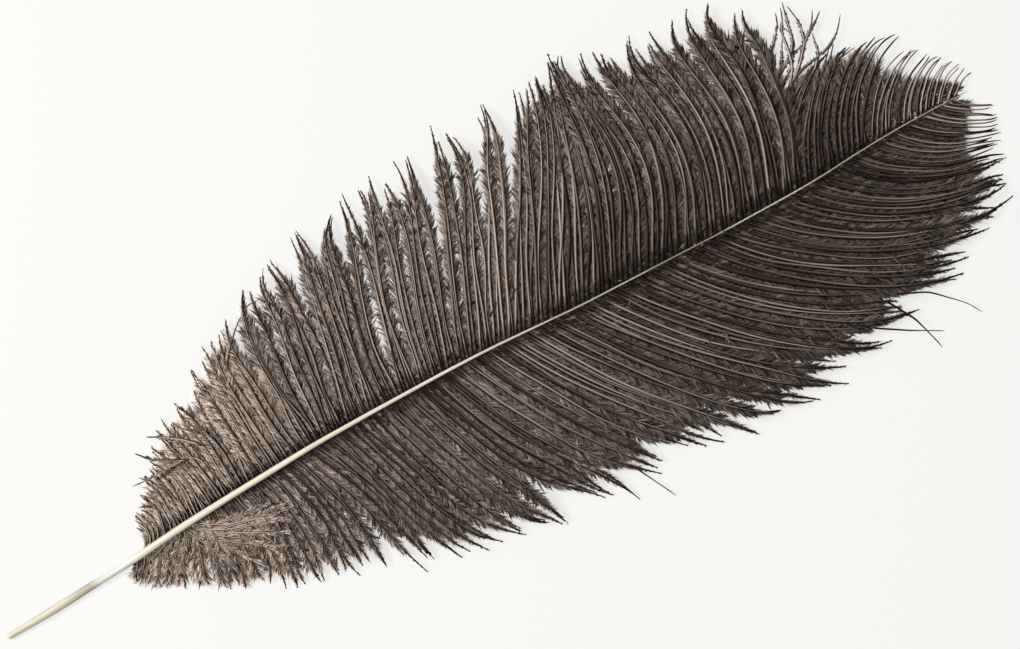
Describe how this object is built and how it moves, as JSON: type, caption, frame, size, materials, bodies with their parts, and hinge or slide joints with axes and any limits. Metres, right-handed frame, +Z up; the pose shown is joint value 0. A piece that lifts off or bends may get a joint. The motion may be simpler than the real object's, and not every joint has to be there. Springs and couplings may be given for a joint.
{
  "type": "ostrich feather",
  "caption": "Long soft brown-grey ostrich plume lying flat: a bare pale quill that runs on as a thin shaft, with a wide vane of loose drooping barbs on each side.",
  "frame": {"origin": "middle of the feather's footprint, on the surface that it lies on", "axes": "+X along the shaft from the quill's end to the feather's tip, +Y to the left vane, +Z up from the surface, with the feather's outer side up"},
  "size_m": [0.5042, 0.1864, 0.0168],
  "materials": {
    "barbs": "soft matt down, brown-grey with near-black barb lines",
    "shaft": "smooth horn, cream with a beige quill"
  },
  "bodies": {
    "root": {"ostrich_feather": "barbs"}
  },
  "joints": []
}
